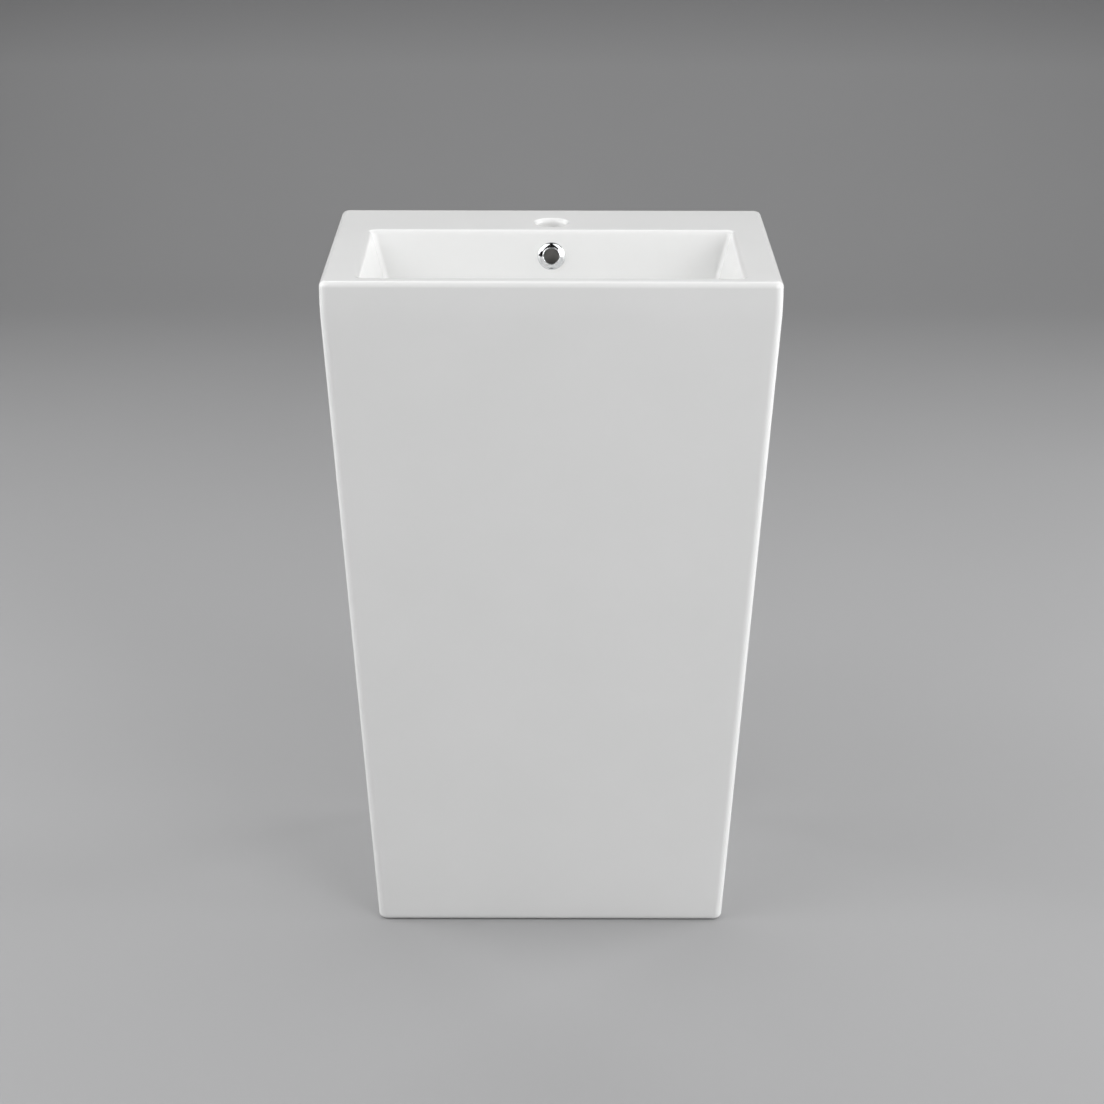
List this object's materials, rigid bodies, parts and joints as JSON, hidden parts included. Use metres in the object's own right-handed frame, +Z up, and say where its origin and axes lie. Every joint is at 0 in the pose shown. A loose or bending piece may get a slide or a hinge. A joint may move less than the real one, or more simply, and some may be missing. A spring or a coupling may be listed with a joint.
{
  "type": "pedestal sink",
  "caption": "Freestanding pedestal sink: a white ceramic basin and tapering rectangular column in one piece, sunken rectangular bowl, rear tap deck, round overflow, push waste and bottle trap.",
  "frame": {"origin": "centre of the bounding box's footprint, at floor level", "axes": "+X to the right seen from the front, +Y from the front towards the wall behind, +Z up"},
  "size_m": [0.5, 0.34, 0.8],
  "materials": {
    "glazed_ceramic": "glossy white glaze, bare inside the column",
    "chrome_trim": "polished",
    "black_rubber": "matte",
    "white_nylon": "satin",
    "grey_plastic": "satin",
    "white_plastic": "semi-gloss moulded",
    "raw_brass": "machined",
    "spring_steel": "drawn wire",
    "zinc_steel": "zinc plated"
  },
  "bodies": {
    "basin": {"basin_pedestal": "glazed_ceramic", "overflow_ring": "chrome_trim", "overflow_sleeve": "grey_plastic", "waste_body": "chrome_trim", "waste_top_seal": "black_rubber", "waste_bottom_seal": "black_rubber", "waste_friction_washer": "white_nylon", "waste_back_nut": "raw_brass", "plug_cartridge": "white_nylon", "plug_spring": "spring_steel", "trap_inlet_nut": "white_plastic", "trap_inlet_washer": "black_rubber", "trap_inlet_pipe": "white_plastic", "trap_head": "white_plastic", "trap_gland_seal": "black_rubber", "trap_gland_nut": "white_plastic", "trap_outlet_seal": "black_rubber", "trap_outlet_nut": "white_plastic", "trap_outlet_pipe": "white_plastic", "floor_bracket_left": "zinc_steel", "floor_bracket_right": "zinc_steel", "side_screws": "zinc_steel", "screw_bushes": "white_nylon", "screw_caps": "chrome_trim"},
    "plug": {"plug_cap": "chrome_trim", "plug_seal": "black_rubber", "plug_plunger": "white_nylon"},
    "latch_rotor": {"plug_latch_rotor": "grey_plastic"},
    "cup_seal": {"trap_cup_seal": "black_rubber"},
    "cup": {"trap_cup": "white_plastic"},
    "rosette": {"wall_rosette": "white_plastic"}
  },
  "joints": [
    {"name": "plug_push", "type": "slide", "parent": "basin", "child": "plug", "axis": [0, 0, 1], "range_m": [-0.008, 0], "stiffness_N_per_m": 600, "springref_m": 0.006, "deforming": ["plug_spring"]},
    {"name": "latch_turn", "type": "hinge", "parent": "plug", "child": "latch_rotor", "pos_m": [0, -0.04225, 0.647], "axis": [0, 0, -1], "range_deg": [0, 45]},
    {"name": "cup_drop", "type": "slide", "parent": "basin", "child": "cup_seal", "axis": [0, 0, -1], "range_m": [0, 0.0142]},
    {"name": "cup_turn", "type": "hinge", "parent": "cup_seal", "child": "cup", "pos_m": [0, -0.04225, 0.45], "axis": [0, 0, -1], "range_deg": [0, 1440]},
    {"name": "rosette_slide", "type": "slide", "parent": "basin", "child": "rosette", "axis": [0, -1, 0], "range_m": [0, 0.04]}
  ],
  "couplings": [
    {"joint": "latch_turn", "follows": "plug_push", "rad_per_m": -98.17},
    {"joint": "cup_drop", "follows": "cup_turn", "m_per_rad": 0.000557}
  ]
}
